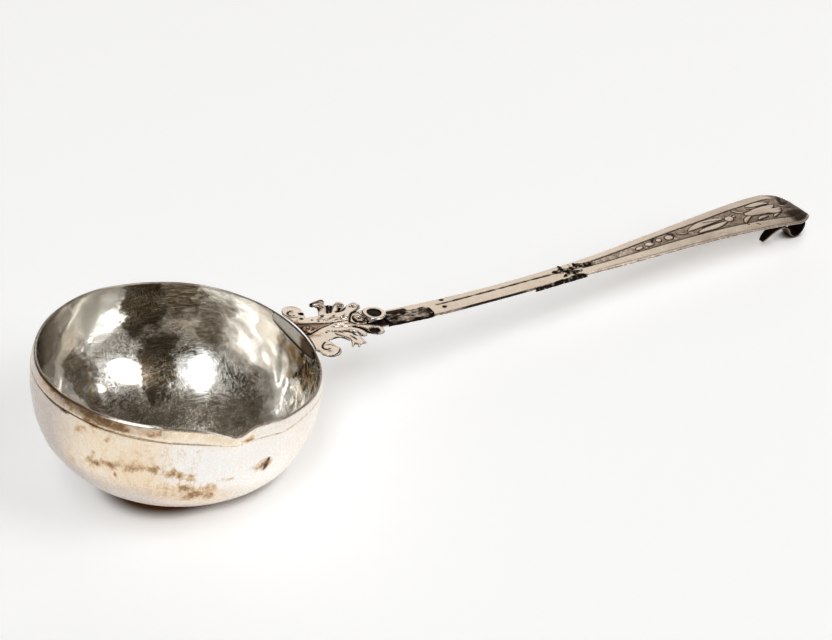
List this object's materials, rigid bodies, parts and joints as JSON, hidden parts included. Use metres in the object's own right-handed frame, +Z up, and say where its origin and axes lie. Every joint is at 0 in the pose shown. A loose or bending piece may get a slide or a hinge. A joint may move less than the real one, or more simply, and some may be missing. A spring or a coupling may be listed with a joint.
{
  "type": "baptismal ladle",
  "caption": "Wrought silver baptismal ladle: round bowl with a pouring lip, cast acanthus bracket with an eyelet ring, and a flat engraved handle with a curled hook.",
  "frame": {"origin": "middle of the flat worn on the underside of the bowl, on the surface that the ladle lies on", "axes": "+X along the handle, away from the bowl; +Y away from the pouring lip; +Z up"},
  "size_m": [0.3227, 0.093, 0.0544],
  "materials": {
    "raised_silver": "polished inside and satin outside, with brown tarnish",
    "handle_silver": "satin, worn, with dark lines and a dark matted panel",
    "cast_silver": "cast and chased, dark in its hollows",
    "old_solder": "dull, dark and uneven"
  },
  "bodies": {
    "root": {"bowl": "raised_silver", "inner_plate": "raised_silver", "bracket": "cast_silver", "bracket_rivet": "cast_silver", "eyelet_ring": "cast_silver", "lower_stem": "handle_silver", "upper_handle": "handle_silver", "hook": "handle_silver", "repair_patch": "old_solder", "solder_joint": "old_solder", "edge_splint": "old_solder"}
  },
  "joints": []
}
